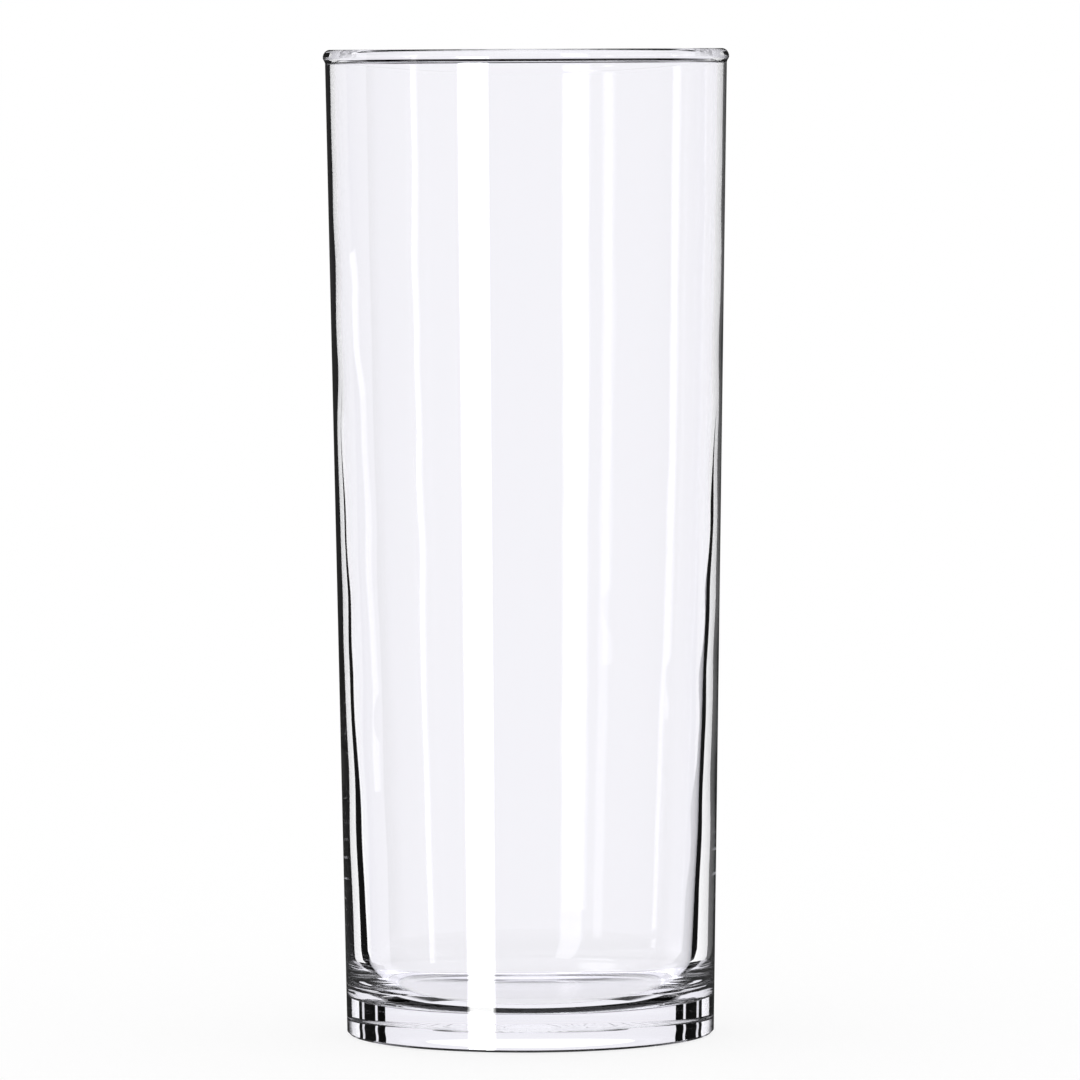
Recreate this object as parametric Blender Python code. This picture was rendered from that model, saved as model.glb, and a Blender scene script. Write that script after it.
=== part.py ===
"""Tall zombie glass, straight sided with a slight taper: one piece of clear soda-lime glass.

Metres, +Z up. The glass is round about Z, and the origin is the centre of the ring it stands on.
Its half section is drawn once, as points (radius, height), and turned about Z.
"""

import math

import bpy

# Outer shape
HEIGHT = 0.159
RIM_RADIUS = 0.0324  # the outer wall's line at the top of the glass, without the rim's bead
FOOT_RADIUS = 0.0297  # the outer wall's line where it meets the table
HEEL_BEVEL = 0.0004  # slanted edge between the outer wall and the table

# Wall: even below the rim, then thicker towards the floor
WALL_AT_RIM = 0.0015
WALL_AT_FLOOR = 0.0039
EVEN_WALL_LENGTH = 0.042
WALL_GROWTH = 1.6  # 1 would thicken the wall along a straight line

# Fire-polished rim: a bead a little fatter than the wall, with a round top
BEAD_PROUD_OUTSIDE = 0.00035
BEAD_PROUD_INSIDE = 0.00045
BEAD_CROWN_HEIGHT = 0.0013
BEAD_NECK_LENGTH = 0.00095  # the wall swells into the bead over this length

# Heavy base
FLOOR_THICKNESS = 0.0055  # from the table to the inside floor
FLOOR_CORNER_WIDTH = 0.0050  # oval round from the inside floor up into the wall
FLOOR_CORNER_HEIGHT = 0.0080
STANDING_RING_WIDTH = 0.0040
PUSH_UP_DEPTH = 0.0006  # hollow under the base, inside the standing ring

# Fineness of the turned surface
SEGMENTS = 72
WALL_STEPS = 10
NECK_STEPS = 3
CROWN_STEPS = 8
CORNER_STEPS = 7
PUSH_UP_STEPS = 5

GLASS_COLOUR = (0.94, 0.94, 0.98, 1.0)
GLASS_ROUGHNESS = 0.02
GLASS_IOR = 1.52
AXIS_MERGE = 1e-6
SLOPE_STEP = 1e-6


def outer_radius(height):
    """The outer wall is a straight cone."""
    return FOOT_RADIUS + (RIM_RADIUS - FOOT_RADIUS) * height / HEIGHT


def wall_thickness(height):
    even_down_to = HEIGHT - EVEN_WALL_LENGTH
    below = max(0.0, even_down_to - height) / (even_down_to - FLOOR_THICKNESS)
    return WALL_AT_RIM + (WALL_AT_FLOOR - WALL_AT_RIM) * below**WALL_GROWTH


def inner_radius(height):
    return outer_radius(height) - wall_thickness(height)


def floor_corner():
    """The oval round from the inside floor up into the wall, joining the wall along its lean."""
    middle = FLOOR_THICKNESS + FLOOR_CORNER_HEIGHT
    lean = (inner_radius(middle) - inner_radius(middle - SLOPE_STEP)) / SLOPE_STEP
    last_angle = -math.atan(lean * FLOOR_CORNER_HEIGHT / FLOOR_CORNER_WIDTH)
    joint = inner_radius(middle + FLOOR_CORNER_HEIGHT * math.sin(last_angle))
    centre = joint - FLOOR_CORNER_WIDTH * math.cos(last_angle)
    points = []
    for step in range(CORNER_STEPS + 1):
        angle = -math.pi / 2 + (math.pi / 2 + last_angle) * step / CORNER_STEPS
        radius = centre + FLOOR_CORNER_WIDTH * math.cos(angle)
        points.append((radius, middle + FLOOR_CORNER_HEIGHT * math.sin(angle)))
    return points


def swell(wall, proud, start):
    """The bead's neck: from the wall at this height out to the bead, easing in and out."""
    points = []
    for step in range(1, NECK_STEPS + 1):
        share = step / NECK_STEPS
        height = start + BEAD_NECK_LENGTH * share
        points.append((wall(height) + proud * share * share * (3 - 2 * share), height))
    return points


def inside_points():
    """From the middle of the floor, round its corner and up the inner wall to the bead."""
    neck = HEIGHT - BEAD_CROWN_HEIGHT - BEAD_NECK_LENGTH
    corner = floor_corner()
    start = corner[-1][1]
    wall = []
    for step in range(1, WALL_STEPS + 1):
        height = start + (neck - start) * step / WALL_STEPS
        wall.append((inner_radius(height), height))
    return [(0.0, FLOOR_THICKNESS)] + corner + wall + swell(inner_radius, -BEAD_PROUD_INSIDE, neck)


def outside_points():
    """From the middle of the hollow under the base, over the standing ring and up the outer wall."""
    neck = HEIGHT - BEAD_CROWN_HEIGHT - BEAD_NECK_LENGTH
    heel = [(FOOT_RADIUS - HEEL_BEVEL, 0.0), (outer_radius(HEEL_BEVEL), HEEL_BEVEL)]
    ring_radius = heel[0][0] - STANDING_RING_WIDTH
    push_up = []
    for step in range(PUSH_UP_STEPS + 1):
        share = step / PUSH_UP_STEPS
        push_up.append((ring_radius * share, PUSH_UP_DEPTH * (1 + math.cos(math.pi * share)) / 2))
    return push_up + heel + [(outer_radius(neck), neck)] + swell(outer_radius, BEAD_PROUD_OUTSIDE, neck)


def crown_points(inner_edge, outer_edge):
    """The bead's half-round top, from its inner side over to its outer side, without those two points."""
    middle = (inner_edge[0] + outer_edge[0]) / 2
    half_width = (outer_edge[0] - inner_edge[0]) / 2
    points = []
    for step in range(1, CROWN_STEPS):
        angle = math.pi * (1 - step / CROWN_STEPS)
        height = inner_edge[1] + BEAD_CROWN_HEIGHT * math.sin(angle)
        points.append((middle + half_width * math.cos(angle), height))
    return points


def half_section():
    """The whole outline, up the inside, over the rim and down the outside."""
    inside = inside_points()
    outside = outside_points()
    return inside + crown_points(inside[-1], outside[-1]) + outside[::-1]


def clear_glass():
    material = bpy.data.materials.new("clear_glass")
    material.use_nodes = True
    shader = material.node_tree.nodes["Principled BSDF"]
    shader.inputs["Base Color"].default_value = GLASS_COLOUR
    shader.inputs["Roughness"].default_value = GLASS_ROUGHNESS
    shader.inputs["Metallic"].default_value = 0.0
    shader.inputs["IOR"].default_value = GLASS_IOR
    shader.inputs["Transmission Weight"].default_value = 1.0
    return material


def tumbler():
    """The one piece of glass: rim, wall and base are a single solid."""
    points = [(radius, 0.0, height) for radius, height in half_section()]
    edges = [(index, index + 1) for index in range(len(points) - 1)]
    mesh = bpy.data.meshes.new("tumbler")
    mesh.from_pydata(points, edges, [])
    mesh.materials.append(clear_glass())
    glass = bpy.data.objects.new("tumbler", mesh)
    bpy.context.scene.collection.objects.link(glass)
    turn = glass.modifiers.new("turn", "SCREW")
    turn.axis = "Z"
    turn.steps = SEGMENTS
    turn.render_steps = SEGMENTS
    turn.use_merge_vertices = True
    turn.merge_threshold = AXIS_MERGE
    turn.use_smooth_shade = True
    return glass


def main():
    for leftover in list(bpy.data.objects):
        bpy.data.objects.remove(leftover)
    tumbler()


main()
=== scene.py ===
"""Looks of the zombie glass: one turned mesh of clear glass, on a white floor in a bright-field studio."""

import functools
import math
from types import SimpleNamespace

import bpy
from mathutils import Matrix, Vector, noise


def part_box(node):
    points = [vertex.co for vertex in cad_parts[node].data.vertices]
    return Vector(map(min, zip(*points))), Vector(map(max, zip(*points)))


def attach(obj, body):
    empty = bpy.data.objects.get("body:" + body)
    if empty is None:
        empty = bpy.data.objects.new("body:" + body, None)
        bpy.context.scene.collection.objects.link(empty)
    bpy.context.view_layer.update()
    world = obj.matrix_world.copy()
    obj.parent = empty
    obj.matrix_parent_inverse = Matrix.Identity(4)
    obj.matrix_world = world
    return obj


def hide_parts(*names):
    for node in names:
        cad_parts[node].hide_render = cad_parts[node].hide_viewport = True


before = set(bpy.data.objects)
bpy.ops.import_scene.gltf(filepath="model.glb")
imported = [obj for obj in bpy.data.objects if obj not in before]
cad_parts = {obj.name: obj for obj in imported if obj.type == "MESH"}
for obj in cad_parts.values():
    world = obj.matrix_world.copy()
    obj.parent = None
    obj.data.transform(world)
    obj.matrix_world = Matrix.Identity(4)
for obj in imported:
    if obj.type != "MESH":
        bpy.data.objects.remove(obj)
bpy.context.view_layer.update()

# The glass's section, in metres, as the solid has it
BEAD_PROUD_OUTSIDE = 0.00035
BEAD_PROUD_INSIDE = 0.00045
BEAD_CROWN_HEIGHT = 0.0013
BEAD_NECK_LENGTH = 0.00095
FOOT_RADIUS = 0.0297
HEEL_BEVEL = 0.0004
WALL_AT_RIM = 0.0015
WALL_AT_FLOOR = 0.0039
EVEN_WALL_LENGTH = 0.042
WALL_GROWTH = 1.6
FLOOR_THICKNESS = 0.0055
FLOOR_CORNER_WIDTH = 0.0050
FLOOR_CORNER_HEIGHT = 0.0080
STANDING_RING_WIDTH = 0.0040
PUSH_UP_DEPTH = 0.0006

# Slow waves in the inner wall, which the solid doesn't have
WAVE_DEPTH = 0.00005
WAVE_LENGTH = 0.012
WAVE_FROM = 0.014  # the waves lie between these two heights
WAVE_TO = 0.152
WAVE_FADE = 0.02  # and fade out over this length at both ends
WAVE_SNAP = 1e-7  # a point this near the inner wall's radius is on the inner wall

# Overall sizes, from the frame
LOW_CORNER, HIGH_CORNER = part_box("tumbler")
HEIGHT = HIGH_CORNER.z
BEAD_LINE = HEIGHT - BEAD_CROWN_HEIGHT  # the height where the bead is widest
NECK_LINE = BEAD_LINE - BEAD_NECK_LENGTH
WALL_RADIUS_AT_BEAD = HIGH_CORNER.x - BEAD_PROUD_OUTSIDE

# Fineness of the mesh
SEGMENTS = 288
WALL_STEPS = 90
NECK_STEPS = 14
CROWN_STEPS = 20
CORNER_STEPS = 20
RING_STEPS = 2
FLOOR_STEPS = 12
PUSH_UP_STEPS = 16
NECK_MARGIN = 0.0001  # the last row of the straight wall ends this far below the bead's neck
SLOPE_STEP = 1e-6
SHARP_FROM = math.radians(30)

# Glass
GLASS_TINT = (0.983, 0.98, 1.0, 1.0)
GLASS_IOR = 1.52
GLASS_BOUNCES = 60  # reflections followed inside the glass

# Camera, level with the rim and turned down to the middle of the glass
CAMERA_DISTANCE = 1.36
CAMERA_LENS = 281.0
CAMERA_SENSOR = 36.0
CAMERA_AIM_RIGHT = 0.0019
CAMERA_ROLL = -0.27

# Floor: matt white, with a glow that brings it up to the backdrop's white, and a painted shadow under the
# base
FLOOR_SIZE = 100.0
FLOOR_DROP = 0.0002  # keeps the floor just clear of the standing ring
FLOOR_WHITE = 0.22
FLOOR_GLOW = 0.78
PAINTED_SHADOW_HALF_WIDTH = 0.0272  # half width of the painted shadow, a black patch on the floor under the hollow of the base
PAINTED_SHADOW_SQUASH = 1.16  # the painted shadow's width in front-to-back lengths

# Levels of the studio's white and of its room
WHITE = 1.0
ROOM_LEVEL = 0.03  # the room, as the front of the glass mirrors it
BACK_COLOUR = (1.3, 1.3, 1.38)  # the room, as the back of the glass mirrors it
BASE_COLOUR = (0.955, 0.95, 0.995)  # the backdrop, seen through the base
GAP_LEVEL = 1.3  # the backdrop between the black cards, as the inner face mirrors it

# Directions in the studio, in degrees: azimuth 0 is straight behind the glass and positive to the right.
# A soft edge is the azimuth, to either side, where the light has ended and the one where it is full.
# A lean is the azimuth gained per degree upwards, and a spread the half width gained per degree downwards.
BACKDROP_EDGE = (85.0, 70.0)  # the backdrop, as the inner face mirrors it
REAR_EDGE = (95.0, 100.0)  # the light part of the room behind the camera
REAR_BAND = (11.0, 9.0)  # its centre and half height in elevation
RETURN_EDGE = (65.0, 75.0)  # the room, as the back of the glass mirrors it
GAP_REACH = 50.0  # azimuth, to either side, of the gap between the black cards
GAP_BANDS = [(-8.0, 8.0), (12.5, 1.5)]  # centre and half height in elevation
LAMP_EDGE = 3.0  # width of the soft sides of a lamp

# Rays inside the glass that still end in the light. Counts of reflections lie halfway between whole numbers.
HALF = 0.5
WALL_FACES = 2  # faces that a ray goes through in a wall's edge or in the base
STEEP = 45.0  # elevation above which it is light
MANY = 4.5
MOST = 11.5
MANY_RISE = 30.0  # elevation above which it is light for more than MANY and fewer than MOST reflections
GUIDED_RISE = 15.0  # light guided up or down the wall leaves above or below these elevations
GUIDED_FALL = 32.0
GUIDED_ASIDE = 0.45  # and no further to the side than this share of its length
ZIGZAGS = [(3, 24.0, 6.5), (2, -21.0, 3.5)]  # in the base: reflections, elevation, half height
OFTEN = 5.5  # steep rays mirrored more often than this, after crossing the drink space, are lost in the dark

# Lamps: azimuth at elevation 0, half width, lowest and highest elevation, lean, strength
SIDE_LAMPS = [(66.5, 7.0), (-66.5, 7.0)]  # azimuth and half width of the two beside the backdrop
SIDE_LAMP_STRENGTH = 0.45
FACE_LAMPS = [(-149.4, 8.2, -32.0, 12.0, 0.0, 22.0)]  # mirrored by the front of the outer face
INNER_LAMPS = [  # mirrored by the front of the inner face
    (-107.5, 4.6, -14.0, 10.0, 0.0, 3.2),
    (-44.6, 3.4, -5.0, -2.0, 3.4, 1.2),
    (-56.5, 3.4, -9.6, -5.0, 0.95, 1.0),
] + [(*place, 2.0, 20.0, 0.0, SIDE_LAMP_STRENGTH) for place in SIDE_LAMPS]
# Seen through the base
BASE_LAMPS = [(*place, -20.0, 20.0, 0.0, SIDE_LAMP_STRENGTH) for place in SIDE_LAMPS]
BACK_LAMPS = [  # mirrored by the back of the glass
    (-149.3, 8.2, -17.0, 45.0, 0.0, 2.6),
    (-128.0, 3.5, -4.9, 5.0, 0.0, 1.6),
    (-73.0, 2.6, -7.1, 5.0, 0.0, 2.2),
]

# Black cards: azimuth, half width, elevation, half height, darkness
BLOCK_CARDS = [(43.2, 2.2), (51.2, 4.3), (59.3, 1.7)]  # azimuth and half width, on either side
WALL_CARDS = [  # mirrored by the inner face
    (-10.5, 11.5, -8.0, 8.0, 1.0),
    (9.5, 8.5, -8.0, 8.0, 0.8),
    (-90.0, 18.0, -7.0, 9.0, 1.0),
    (135.0, 18.0, -18.0, 8.0, 1.0),
]
BASE_CARDS = []  # seen through the base
for side in (-1, 1):
    WALL_CARDS += [(side * azimuth, half_width, 9.25, 6.75, 1.0) for azimuth, half_width in BLOCK_CARDS]
    WALL_CARDS.append((side * 45.0, 18.0, -30.0, 14.0, 1.0))
    BASE_CARDS += [(side * azimuth, half_width, 0.0, 16.0, 1.0) for azimuth, half_width in BLOCK_CARDS]
    BASE_CARDS.append((side * 81.0, 9.0, 0.0, 20.0, 1.0))
RIM_CARDS = [(0.0, 180.0, 40.5, 29.5, 1.0)]  # all round, seen through the bead

# Black wedges: azimuth at elevation 0, lean, elevation of the tip, spread, lowest elevation, darkness
WALL_WEDGES = [(-22.3, 1.6, -4.0, 0.7, -16.0, 1.0), (11.3, -3.3, -4.0, 1.3, -16.0, 1.0)]


def outer_radius(height):
    return FOOT_RADIUS + (WALL_RADIUS_AT_BEAD - FOOT_RADIUS) * height / BEAD_LINE


def wall_thickness(height):
    even_down_to = HEIGHT - EVEN_WALL_LENGTH
    below = max(0.0, even_down_to - height) / (even_down_to - FLOOR_THICKNESS)
    return WALL_AT_RIM + (WALL_AT_FLOOR - WALL_AT_RIM) * below**WALL_GROWTH


def inner_radius(height):
    return outer_radius(height) - wall_thickness(height)


def between(start, end, steps):
    """Points on a straight line, without its start."""
    points = []
    for step in range(1, steps + 1):
        share = step / steps
        points.append((start[0] + (end[0] - start[0]) * share, start[1] + (end[1] - start[1]) * share))
    return points


def floor_corner():
    """The oval round from the inside floor up into the wall, joining the wall along its lean."""
    middle = FLOOR_THICKNESS + FLOOR_CORNER_HEIGHT
    lean = (inner_radius(middle) - inner_radius(middle - SLOPE_STEP)) / SLOPE_STEP
    last_angle = -math.atan(lean * FLOOR_CORNER_HEIGHT / FLOOR_CORNER_WIDTH)
    joint = inner_radius(middle + FLOOR_CORNER_HEIGHT * math.sin(last_angle))
    centre = joint - FLOOR_CORNER_WIDTH * math.cos(last_angle)
    points = []
    for step in range(CORNER_STEPS + 1):
        angle = -math.pi / 2 + (math.pi / 2 + last_angle) * step / CORNER_STEPS
        radius = centre + FLOOR_CORNER_WIDTH * math.cos(angle)
        points.append((radius, middle + FLOOR_CORNER_HEIGHT * math.sin(angle)))
    return points


def up_the_wall(wall, start):
    """From above this height to the bead's neck."""
    straight = NECK_LINE - NECK_MARGIN - start
    heights = [start + straight * step / WALL_STEPS for step in range(1, WALL_STEPS + 1)]
    return [(wall(height), height) for height in heights + [NECK_LINE]]


def swell(wall, proud):
    """The bead's neck, from the wall out to the bead, easing in and out."""
    points = []
    for step in range(1, NECK_STEPS + 1):
        share = step / NECK_STEPS
        height = NECK_LINE + BEAD_NECK_LENGTH * share
        points.append((wall(height) + proud * share * share * (3 - 2 * share), height))
    return points


def inside_points():
    """From the middle of the floor, round its corner and up the inner wall to the bead."""
    middle = (0.0, FLOOR_THICKNESS)
    corner = floor_corner()
    floor_line = [middle] + between(middle, corner[0], FLOOR_STEPS)
    wall = up_the_wall(inner_radius, corner[-1][1])
    return floor_line + corner[1:] + wall + swell(inner_radius, -BEAD_PROUD_INSIDE)


def outside_points():
    """From the middle of the hollow under the base, over the standing ring and up the outer wall."""
    heel = [(FOOT_RADIUS - HEEL_BEVEL, 0.0), (outer_radius(HEEL_BEVEL), HEEL_BEVEL)]
    ring_radius = heel[0][0] - STANDING_RING_WIDTH
    push_up = []
    for step in range(PUSH_UP_STEPS + 1):
        share = step / PUSH_UP_STEPS
        push_up.append((ring_radius * share, PUSH_UP_DEPTH * (1 + math.cos(math.pi * share)) / 2))
    ring = between(push_up[-1], heel[0], RING_STEPS)
    wall = up_the_wall(outer_radius, heel[-1][1])
    return push_up + ring + heel[1:] + wall + swell(outer_radius, BEAD_PROUD_OUTSIDE)


def crown_points(inner_edge, outer_edge):
    """The bead's half-round top, without the two points that it runs between."""
    middle = (inner_edge[0] + outer_edge[0]) / 2
    half_width = (outer_edge[0] - inner_edge[0]) / 2
    points = []
    for step in range(1, CROWN_STEPS):
        angle = math.pi * (1 - step / CROWN_STEPS)
        height = BEAD_LINE + BEAD_CROWN_HEIGHT * math.sin(angle)
        points.append((middle + half_width * math.cos(angle), height))
    return points


def wave(point, radius):
    """How far the inner wall stands off its true radius here, in the slow waves that hot glass sets with."""
    height = point.z
    if abs(radius - inner_radius(height)) > WAVE_SNAP or not WAVE_FROM < height < WAVE_TO:
        return 0.0
    fade = min(1.0, (height - WAVE_FROM) / WAVE_FADE, (WAVE_TO - height) / WAVE_FADE)
    return WAVE_DEPTH * fade * noise.noise(point / WAVE_LENGTH)


def turned_mesh(name, section):
    """Turns a section about Z. It starts and ends on the axis, going up the inside and down the outside."""
    points = [Vector((0.0, 0.0, section[0][1]))]
    for radius, height in section[1:-1]:
        for segment in range(SEGMENTS):
            angle = 2 * math.pi * segment / SEGMENTS
            point = Vector((radius * math.cos(angle), radius * math.sin(angle), height))
            stretch = 1 + wave(point, radius) / radius
            points.append(Vector((point.x * stretch, point.y * stretch, height)))
    points.append(Vector((0.0, 0.0, section[-1][1])))
    last = len(points) - 1
    rings = len(section) - 2
    faces = []
    for segment in range(SEGMENTS):
        after = (segment + 1) % SEGMENTS
        faces.append((0, 1 + segment, 1 + after))
        for ring in range(rings - 1):
            low = 1 + ring * SEGMENTS
            high = low + SEGMENTS
            faces.append((low + segment, high + segment, high + after, low + after))
        top = 1 + (rings - 1) * SEGMENTS
        faces.append((top + segment, last, top + after))
    mesh = bpy.data.meshes.new(name)
    mesh.from_pydata(points, [], faces)
    mesh.shade_smooth()
    mesh.set_sharp_from_angle(angle=SHARP_FROM)
    return mesh


def clear_glass():
    material = bpy.data.materials.new("clear_glass")
    material.use_nodes = True
    shader = material.node_tree.nodes["Principled BSDF"]
    shader.inputs["Base Color"].default_value = GLASS_TINT
    shader.inputs["Roughness"].default_value = 0.0
    shader.inputs["IOR"].default_value = GLASS_IOR
    shader.inputs["Transmission Weight"].default_value = 1.0
    return material


def tumbler():
    inside = inside_points()
    outside = outside_points()
    section = inside + crown_points(inside[-1], outside[-1]) + outside[::-1]
    mesh = turned_mesh("glass_tumbler", section)
    mesh.materials.append(clear_glass())
    glass = bpy.data.objects.new("glass_tumbler", mesh)
    bpy.context.scene.collection.objects.link(glass)
    return glass


class MathNodes:
    """Adds math nodes to a shader tree. Values are sockets or numbers, and directions are in degrees."""

    def __init__(self, tree):
        self.tree = tree

    def node(self, kind):
        return self.tree.nodes.new("ShaderNode" + kind)

    def link(self, output, socket):
        self.tree.links.new(output, socket)

    def result(self, operation, *values):
        node = self.node("Math")
        node.operation = operation
        for socket, value in zip(node.inputs, values):
            if isinstance(value, bpy.types.NodeSocket):
                self.link(value, socket)
            else:
                socket.default_value = value
        return node.outputs["Value"]

    def chain(self, operation, values):
        return functools.reduce(functools.partial(self.result, operation), values)

    def product(self, *values):
        return self.chain("MULTIPLY", values)

    def total(self, *values):
        return self.chain("ADD", values)

    def largest(self, *values):
        return self.chain("MAXIMUM", values)

    def scaled(self, value, scale, start):
        """The value times a scale, counted from a start."""
        return self.result("MULTIPLY_ADD", value, scale, start)

    def opposite(self, value):
        return self.result("SUBTRACT", 1.0, value)

    def more(self, value, limit):
        return self.result("GREATER_THAN", value, limit)

    def less(self, value, limit):
        return self.result("LESS_THAN", value, limit)

    def equal(self, count, wanted):
        return self.result("COMPARE", count, wanted, HALF)

    def above(self, direction, limit):
        return self.more(direction, math.radians(limit))

    def below(self, direction, limit):
        return self.less(direction, math.radians(limit))

    def within(self, direction, centre, half):
        return self.result("COMPARE", direction, math.radians(centre), math.radians(half))

    def soft_step(self, direction, start, end):
        """0 up to start and 1 from end on, or the other way round where end is the smaller."""
        step = self.node("MapRange")
        step.interpolation_type = "SMOOTHSTEP"
        self.link(direction, step.inputs["Value"])
        step.inputs["From Min"].default_value = math.radians(start)
        step.inputs["From Max"].default_value = math.radians(end)
        return step.outputs["Result"]


def ray_way(nodes):
    """Where a ray leaves to."""
    place = nodes.node("TexCoord")
    split = nodes.node("SeparateXYZ")
    nodes.link(place.outputs["Generated"], split.inputs["Vector"])
    azimuth = nodes.result("ARCTAN2", split.outputs["X"], split.outputs["Y"])
    return SimpleNamespace(
        azimuth=azimuth,
        turned=nodes.result("ABSOLUTE", azimuth),
        elevation=nodes.result("ARCSINE", split.outputs["Z"]),
        sideways=nodes.result("ABSOLUTE", split.outputs["X"]),
    )


def still_lit(nodes, way, mirrors):
    """Rays mirrored to and fro in the glass that end in the light."""
    many = nodes.more(mirrors, MANY)
    rising = nodes.product(many, nodes.less(mirrors, MOST), nodes.above(way.elevation, MANY_RISE))
    falling = nodes.product(nodes.below(way.elevation, -STEEP), nodes.equal(mirrors, 1))
    slanted_up = nodes.above(way.elevation, GUIDED_RISE)
    slanted_down = nodes.below(way.elevation, -GUIDED_FALL)
    slanted = nodes.largest(slanted_up, slanted_down)
    piped = nodes.product(slanted, nodes.less(way.sideways, GUIDED_ASIDE), many)
    zigzags = [
        nodes.product(nodes.equal(mirrors, times), nodes.within(way.elevation, elevation, half_height))
        for times, elevation, half_height in ZIGZAGS
    ]
    return nodes.largest(nodes.above(way.elevation, STEEP), rising, falling, piped, *zigzags)


def ray_kinds(nodes, way):
    """How the glass has treated a ray, told by the counts on its path. Each kind is 1 or 0."""
    path = nodes.node("LightPath")
    faces = path.outputs["Transmission Depth"]
    mirrors = path.outputs["Glossy Depth"]
    mirrored = nodes.more(mirrors, HALF)
    in_wall = nodes.equal(faces, WALL_FACES)
    lost = nodes.product(nodes.more(mirrors, OFTEN), nodes.above(way.elevation, STEEP))
    return SimpleNamespace(
        sees_room=nodes.largest(mirrored, in_wall),
        off_face=nodes.product(mirrored, nodes.less(faces, HALF)),
        off_inside=nodes.product(in_wall, nodes.equal(mirrors, 1)),
        straight=nodes.product(in_wall, nodes.opposite(mirrored)),
        guided=nodes.product(in_wall, mirrored, still_lit(nodes, way, mirrors)),
        off_back=nodes.product(nodes.more(faces, WALL_FACES + HALF), nodes.opposite(lost)),
    )


def offset(nodes, way, azimuth, lean):
    """How far a ray is, in azimuth, from an upright or leaning line."""
    line = nodes.scaled(way.elevation, lean, math.radians(azimuth))
    return nodes.result("ABSOLUTE", nodes.result("SUBTRACT", way.azimuth, line))


def lamp(nodes, way, shape):
    """A bar of light, upright or leaning, with soft sides."""
    azimuth, half_width, lowest, highest, lean, strength = shape
    aside = offset(nodes, way, azimuth, lean)
    across = nodes.soft_step(aside, half_width + LAMP_EDGE / 2, half_width - LAMP_EDGE / 2)
    along = nodes.within(way.elevation, (lowest + highest) / 2, (highest - lowest) / 2)
    return nodes.product(across, along, strength)


def card(nodes, way, shape):
    azimuth, half_width, elevation, half_height, darkness = shape
    across = nodes.within(way.azimuth, azimuth, half_width)
    return nodes.product(across, nodes.within(way.elevation, elevation, half_height), darkness)


def wedge(nodes, way, shape):
    """A card that widens downwards from its tip."""
    azimuth, lean, tip, spread, lowest, darkness = shape
    depth = nodes.result("SUBTRACT", math.radians(tip), way.elevation)
    across = nodes.less(offset(nodes, way, azimuth, lean), nodes.product(depth, spread))
    return nodes.product(across, nodes.above(way.elevation, lowest), darkness)


def blackness(nodes, way, rays):
    """The cards and wedges, each for the rays that see it."""
    shades = [nodes.product(card(nodes, way, shape), rays.off_inside) for shape in WALL_CARDS]
    shades += [nodes.product(wedge(nodes, way, shape), rays.off_inside) for shape in WALL_WEDGES]
    shades += [nodes.product(card(nodes, way, shape), rays.straight) for shape in BASE_CARDS + RIM_CARDS]
    return nodes.largest(*shades)


def lamplight(nodes, way, rays):
    """The lamps, each for the rays that see it."""
    groups = [
        (FACE_LAMPS, rays.off_face),
        (INNER_LAMPS, rays.off_inside),
        (BASE_LAMPS, rays.straight),
        (BACK_LAMPS, rays.off_back),
    ]
    lights = [nodes.product(lamp(nodes, way, shape), seen) for shapes, seen in groups for shape in shapes]
    return nodes.total(*lights)


def room_colour(nodes, way, rays):
    """The room's three levels: dim, with a light backdrop, lamps and black cards."""
    rear = nodes.product(nodes.soft_step(way.turned, *REAR_EDGE), nodes.within(way.elevation, *REAR_BAND))
    backdrop = nodes.largest(nodes.soft_step(way.turned, *BACKDROP_EDGE), rear)
    behind = nodes.largest(nodes.product(rays.off_inside, backdrop), rays.guided)
    bands = [nodes.within(way.elevation, *band) for band in GAP_BANDS]
    gap = nodes.product(nodes.largest(*bands), nodes.within(way.azimuth, 0.0, GAP_REACH))
    returned = nodes.product(rays.off_back, nodes.soft_step(way.turned, *RETURN_EDGE))
    onward = nodes.result("SUBTRACT", nodes.total(rays.off_back, rays.straight), returned)
    lit = nodes.opposite(blackness(nodes, way, rays))
    glow = lamplight(nodes, way, rays)
    levels = []
    for back_level, base_level in zip(BACK_COLOUR, BASE_COLOUR):
        base_gain = base_level - ROOM_LEVEL
        level = nodes.scaled(returned, back_level - ROOM_LEVEL, ROOM_LEVEL)
        level = nodes.scaled(behind, nodes.scaled(gap, GAP_LEVEL - base_level, base_gain), level)
        level = nodes.scaled(onward, base_gain, level)
        levels.append(nodes.product(nodes.total(level, glow), lit))
    return levels


def studio():
    """White all round, but what the glass mirrors is a dim room with upright lamps and black cards."""
    world = bpy.data.worlds.new("studio")
    world.use_nodes = True
    bpy.context.scene.world = world
    nodes = MathNodes(world.node_tree)
    way = ray_way(nodes)
    rays = ray_kinds(nodes, way)
    colour = nodes.node("CombineColor")
    for socket, level in zip(colour.inputs, room_colour(nodes, way, rays)):
        nodes.link(nodes.scaled(rays.sees_room, nodes.result("SUBTRACT", level, WHITE), WHITE), socket)
    background = world.node_tree.nodes["Background"]
    nodes.link(colour.outputs["Color"], background.inputs["Color"])
    background.inputs["Strength"].default_value = 1.0


def floor_clearness_with_painted_shadow(nodes, mirrored):
    """0 in the oval patch of painted shadow under the hollow of the base, for mirrored rays only, and 1
    elsewhere.
    """
    place = nodes.node("NewGeometry")
    squash = nodes.node("VectorMath")
    squash.operation = "MULTIPLY"
    nodes.link(place.outputs["Position"], squash.inputs[0])
    squash.inputs[1].default_value = (1.0, PAINTED_SHADOW_SQUASH, 1.0)
    reach = nodes.node("VectorMath")
    reach.operation = "LENGTH"
    nodes.link(squash.outputs["Vector"], reach.inputs[0])
    # painted shadow: mirrored rays see the floor black under the hollow of the base
    outside = nodes.more(reach.outputs["Value"], PAINTED_SHADOW_HALF_WIDTH)
    return nodes.largest(outside, nodes.opposite(mirrored))


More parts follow.
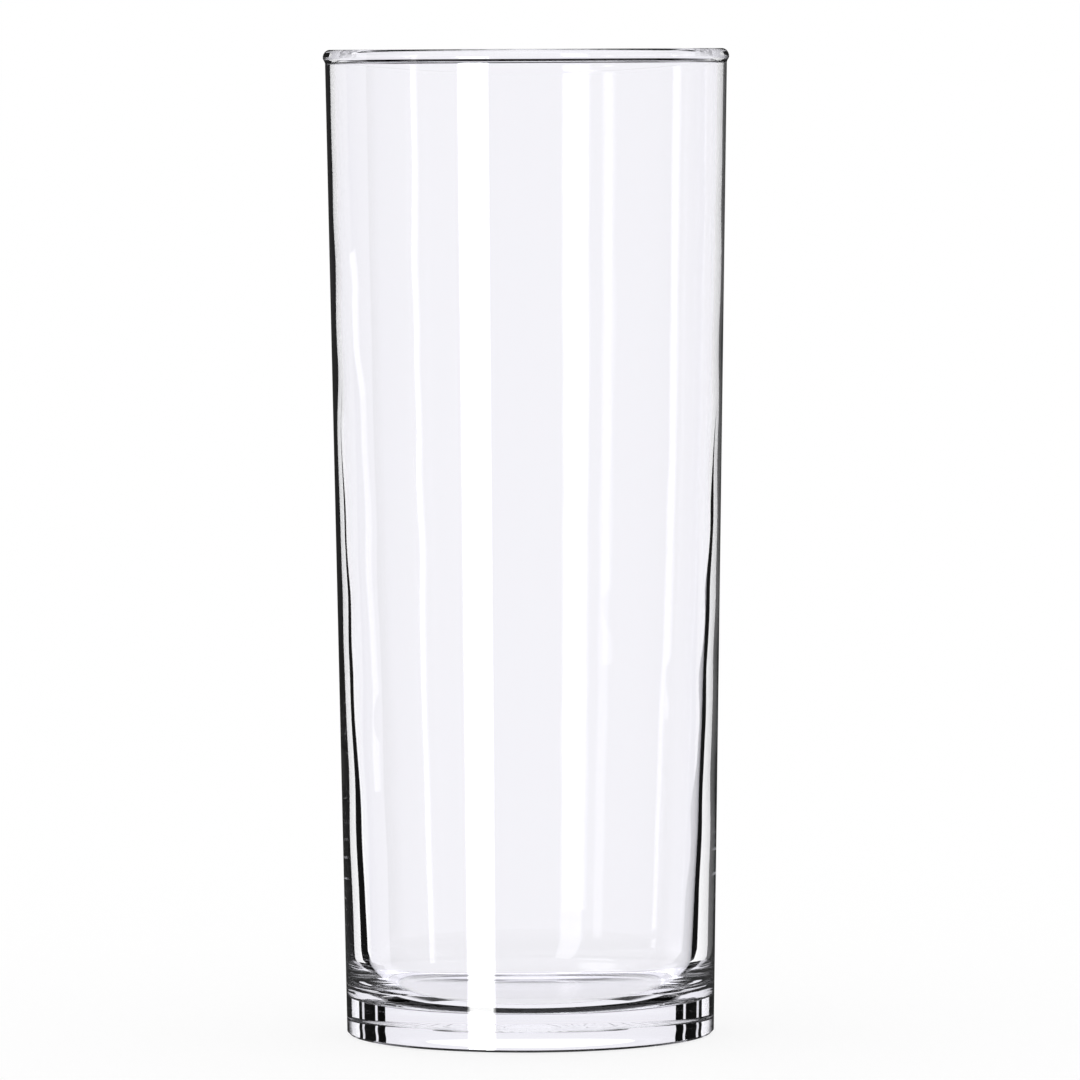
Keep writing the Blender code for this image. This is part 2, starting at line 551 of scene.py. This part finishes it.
def white_floor():
    """Matt and glowing white, and clear to rays that see the studio's room, but black to mirrored rays in a
    painted shadow under the base.
    """
    material = bpy.data.materials.new("white_floor")
    material.use_nodes = True
    material.node_tree.nodes.clear()
    nodes = MathNodes(material.node_tree)
    path = nodes.node("LightPath")
    mirrored = nodes.more(path.outputs["Glossy Depth"], HALF)
    in_wall = nodes.equal(path.outputs["Transmission Depth"], WALL_FACES)
    matt = nodes.node("BsdfDiffuse")
    matt.inputs["Color"].default_value = (FLOOR_WHITE, FLOOR_WHITE, FLOOR_WHITE, 1.0)
    glow = nodes.node("Emission")
    glow.inputs["Strength"].default_value = FLOOR_GLOW
    lit = nodes.node("AddShader")
    nodes.link(matt.outputs["BSDF"], lit.inputs[0])
    nodes.link(glow.outputs["Emission"], lit.inputs[1])
    clear = nodes.node("BsdfTransparent")
    # the clear part's colour carries the painted shadow under the base
    nodes.link(floor_clearness_with_painted_shadow(nodes, mirrored), clear.inputs["Color"])
    mix = nodes.node("MixShader")
    nodes.link(nodes.largest(mirrored, in_wall), mix.inputs["Fac"])
    nodes.link(lit.outputs["Shader"], mix.inputs[1])
    nodes.link(clear.outputs["BSDF"], mix.inputs[2])
    out = nodes.node("OutputMaterial")
    nodes.link(mix.outputs["Shader"], out.inputs["Surface"])
    return material


def floor():
    half = FLOOR_SIZE / 2
    corners = [(-half, -half, 0), (half, -half, 0), (half, half, 0), (-half, half, 0)]
    mesh = bpy.data.meshes.new("floor")
    mesh.from_pydata(corners, [], [(0, 1, 2, 3)])
    mesh.materials.append(white_floor())
    sheet = bpy.data.objects.new("floor", mesh)
    sheet.location.z = LOW_CORNER.z - FLOOR_DROP
    bpy.context.scene.collection.objects.link(sheet)


def camera():
    data = bpy.data.cameras.new("camera")
    data.lens = CAMERA_LENS
    data.sensor_width = CAMERA_SENSOR
    view = bpy.data.objects.new("camera", data)
    view.location = (0.0, -CAMERA_DISTANCE, HEIGHT)
    pitch = math.atan(HEIGHT / CAMERA_DISTANCE) / 2
    aim = Vector((CAMERA_AIM_RIGHT, CAMERA_DISTANCE, -CAMERA_DISTANCE * math.tan(pitch)))
    turn = aim.to_track_quat("-Z", "Y").to_matrix() @ Matrix.Rotation(math.radians(CAMERA_ROLL), 3, "Z")
    view.rotation_euler = turn.to_euler()
    bpy.context.scene.collection.objects.link(view)
    bpy.context.scene.camera = view


def main():
    scene = bpy.context.scene
    scene.view_settings.view_transform = "Standard"
    scene.cycles.max_bounces = GLASS_BOUNCES
    scene.cycles.glossy_bounces = GLASS_BOUNCES
    scene.cycles.transmission_bounces = GLASS_BOUNCES
    glass = tumbler()
    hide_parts("tumbler")
    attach(glass, "root")
    floor()
    studio()
    camera()


main()
